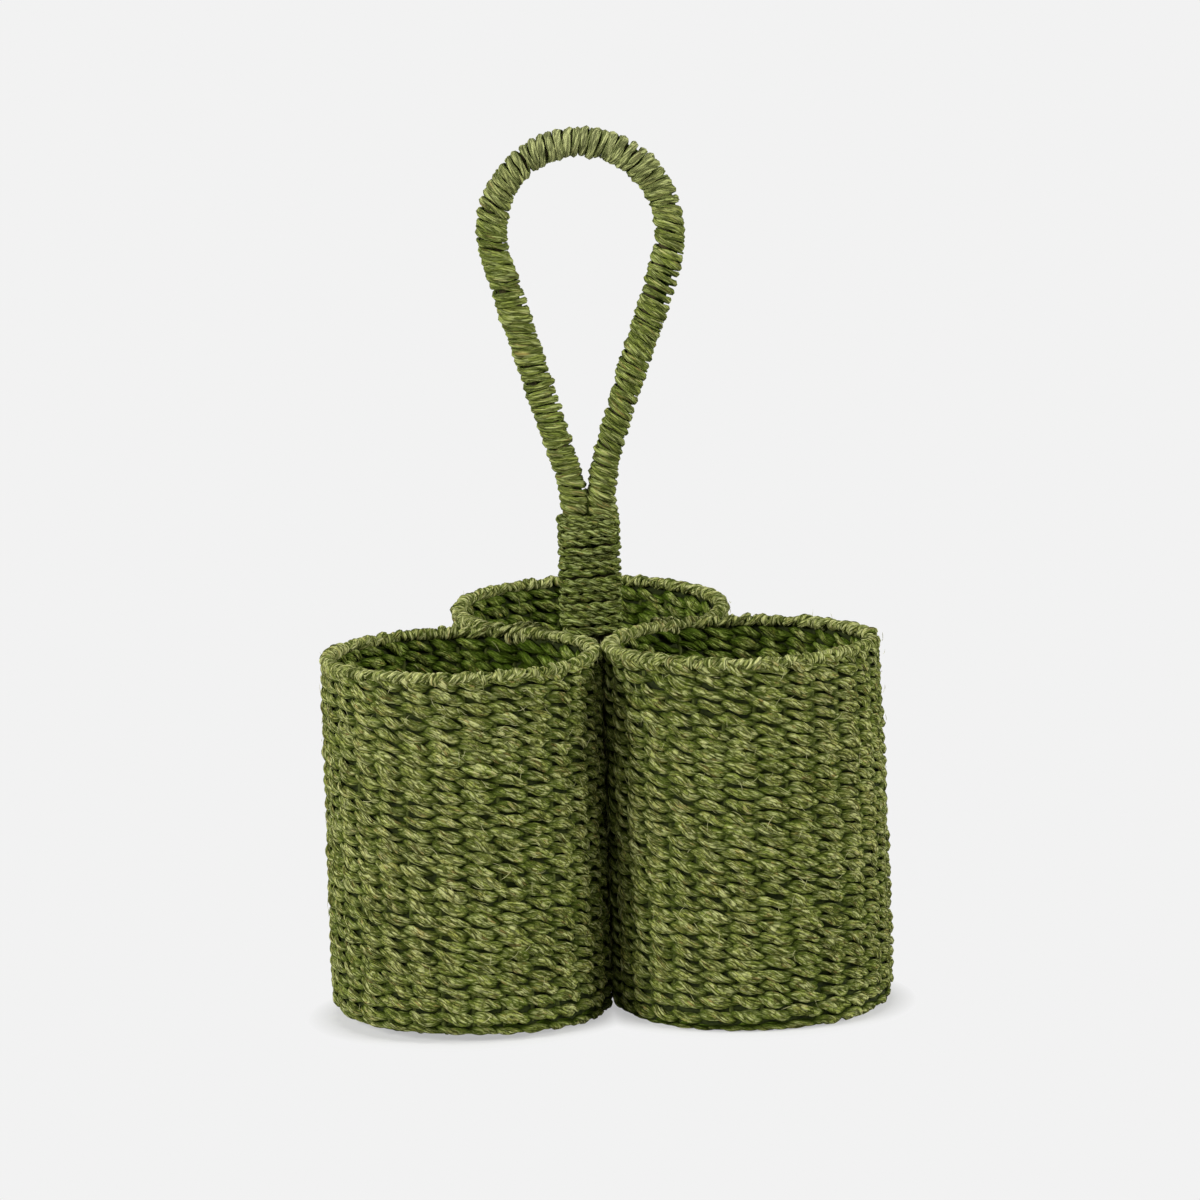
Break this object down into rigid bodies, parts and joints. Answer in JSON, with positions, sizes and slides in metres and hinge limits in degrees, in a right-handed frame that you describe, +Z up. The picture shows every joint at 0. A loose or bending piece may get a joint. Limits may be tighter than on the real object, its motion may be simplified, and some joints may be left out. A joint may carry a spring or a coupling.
{
  "type": "bottle carrier",
  "caption": "Woven bottle carrier: round twined cups sewn together in a cluster around a whipped central stem that ends in a wrapped teardrop hand loop.",
  "frame": {"origin": "middle of the footprint box, on the surface that the carrier stands on", "axes": "+X to the right and +Y to the back cup as the picture looks at it, +Z up"},
  "size_m": [0.2004, 0.1912, 0.3126],
  "materials": {
    "woven_abaca": "olive twined fibre",
    "abaca_cord": "olive twisted cord",
    "stake_fibre": "dark olive cord",
    "cane_core": "bare cane"
  },
  "bodies": {
    "carrier": {"left_cup_base": "woven_abaca", "left_cup_wall": "woven_abaca", "left_cup_stakes": "stake_fibre", "left_cup_rim": "abaca_cord", "right_cup_base": "woven_abaca", "right_cup_wall": "woven_abaca", "right_cup_stakes": "stake_fibre", "right_cup_rim": "abaca_cord", "back_cup_base": "woven_abaca", "back_cup_wall": "woven_abaca", "back_cup_stakes": "stake_fibre", "back_cup_rim": "abaca_cord", "front_lacing": "abaca_cord", "left_lacing": "abaca_cord", "right_lacing": "abaca_cord", "left_rim_tie": "abaca_cord", "right_rim_tie": "abaca_cord", "stem_whipping": "abaca_cord", "stem_lashing": "abaca_cord", "stem_core_left": "cane_core", "stem_core_right": "cane_core"},
    "handle_loop": {"loop_core": "cane_core", "loop_wrap": "abaca_cord"}
  },
  "joints": [
    {"name": "handle_lean", "type": "hinge", "parent": "carrier", "child": "handle_loop", "pos_m": [-0.002, -0.01238, 0.1781], "axis": [1, 0, 0], "range_deg": [-20, 20], "stiffness_Nm_per_rad": 2}
  ]
}
